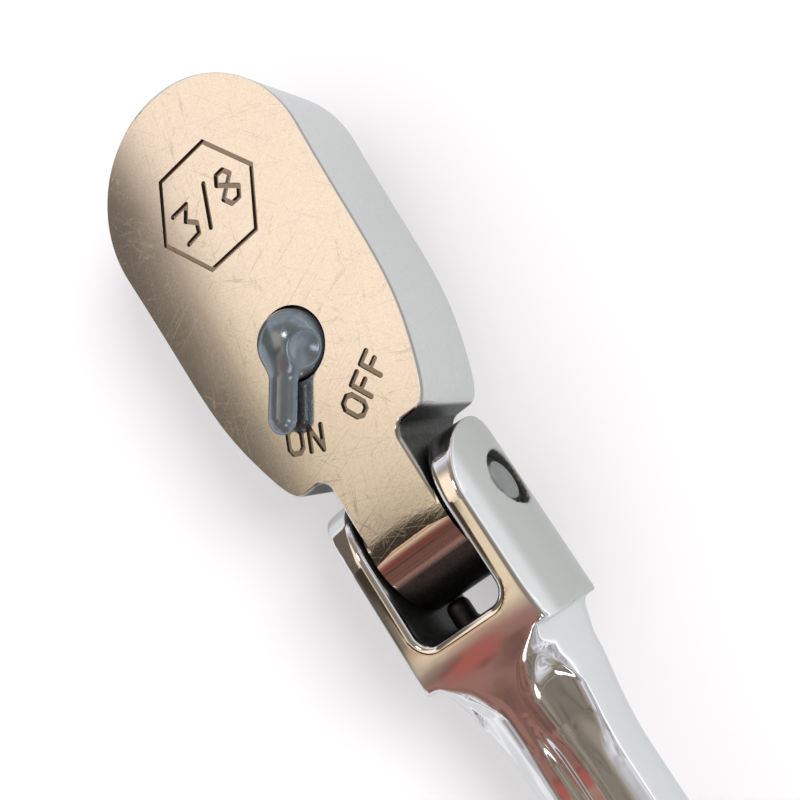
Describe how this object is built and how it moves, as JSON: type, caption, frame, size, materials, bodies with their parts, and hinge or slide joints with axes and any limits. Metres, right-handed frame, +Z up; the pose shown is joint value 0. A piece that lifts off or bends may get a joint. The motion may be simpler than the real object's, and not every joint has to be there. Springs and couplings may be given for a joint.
{
  "type": "flex-head ratchet wrench",
  "caption": "Long-handled flex-head ratchet wrench with a square drive tang, a reversing lever on the head and a fluted steel handle with a plain swelling grip.",
  "frame": {"origin": "centre of the drive tang's end face, which is the face the head stands on", "axes": "+Z up the drive axis from the tang through the head, +X from the drive axis towards the end of the handle, +Y to the handle's left seen from above"},
  "size_m": [0.2852, 0.0284, 0.0288],
  "materials": {
    "chrome": "bright polished chrome plate",
    "satin_chrome": "satin chrome plate with fine handling scratches",
    "cast_lever": "satin blue-grey cast steel",
    "dark_steel": "dark oxide steel",
    "hardened_steel": "ground hardened steel",
    "spring_steel": "drawn spring steel",
    "bronze": "plain bronze bearing metal",
    "seal_rubber": "black nitrile rubber"
  },
  "bodies": {
    "handle": {"handle": "chrome", "pivot_pin": "dark_steel", "joint_washers": "spring_steel", "joint_spring": "spring_steel"},
    "joint_plunger": {"joint_plunger": "hardened_steel"},
    "head": {"head_body": "satin_chrome", "gear_thrust_washer": "spring_steel", "gear_bushing": "bronze", "cover_plate": "satin_chrome", "cover_retaining_ring": "spring_steel", "hub_seal": "seal_rubber"},
    "drive": {"drive_gear": "hardened_steel", "socket_detent_spring": "spring_steel"},
    "detent_ball": {"socket_detent_ball": "hardened_steel"},
    "lever": {"reversing_lever": "cast_lever", "lever_seal": "seal_rubber", "lever_snap_ring": "spring_steel", "pawl_spring": "spring_steel"},
    "pawl_plunger": {"pawl_plunger": "hardened_steel"},
    "pawl": {"pawl": "hardened_steel"}
  },
  "joints": [
    {"name": "head_flex", "type": "hinge", "parent": "handle", "child": "head", "pos_m": [0.045, 0, 0.0177], "axis": [0, 1, 0], "range_deg": [-87, 92]},
    {"name": "joint_plunger_slide", "type": "slide", "parent": "handle", "child": "joint_plunger", "axis": [0.9988, 0, -0.0487], "range_m": [0, 0.0004], "stiffness_N_per_m": 4000, "springref_m": -0.001, "deforming": ["joint_spring"]},
    {"name": "drive_spin", "type": "hinge", "parent": "head", "child": "drive", "pos_m": [0, 0, 0], "axis": [0, 0, 1], "continuous": true},
    {"name": "detent_ball_slide", "type": "slide", "parent": "drive", "child": "detent_ball", "axis": [1, 0, 0], "range_m": [-0.0006, 0], "stiffness_N_per_m": 1500, "springref_m": 0.0008, "deforming": ["socket_detent_spring"]},
    {"name": "lever_swing", "type": "hinge", "parent": "head", "child": "lever", "pos_m": [0.0204, 0, 0.0251], "axis": [0, 0, 1], "range_deg": [0, 72]},
    {"name": "pawl_plunger_slide", "type": "slide", "parent": "lever", "child": "pawl_plunger", "axis": [-0.809, 0.5878, 0], "range_m": [-0.0004, 0], "stiffness_N_per_m": 1200, "springref_m": 0.0008, "deforming": ["pawl_spring"]},
    {"name": "pawl_rock", "type": "hinge", "parent": "head", "child": "pawl", "pos_m": [0.0124, 0, 0.01655], "axis": [0, 0, 1], "range_deg": [-8, 0]}
  ],
  "couplings": [
    {"joint": "pawl_rock", "follows": "lever_swing", "ratio": -0.11111}
  ]
}
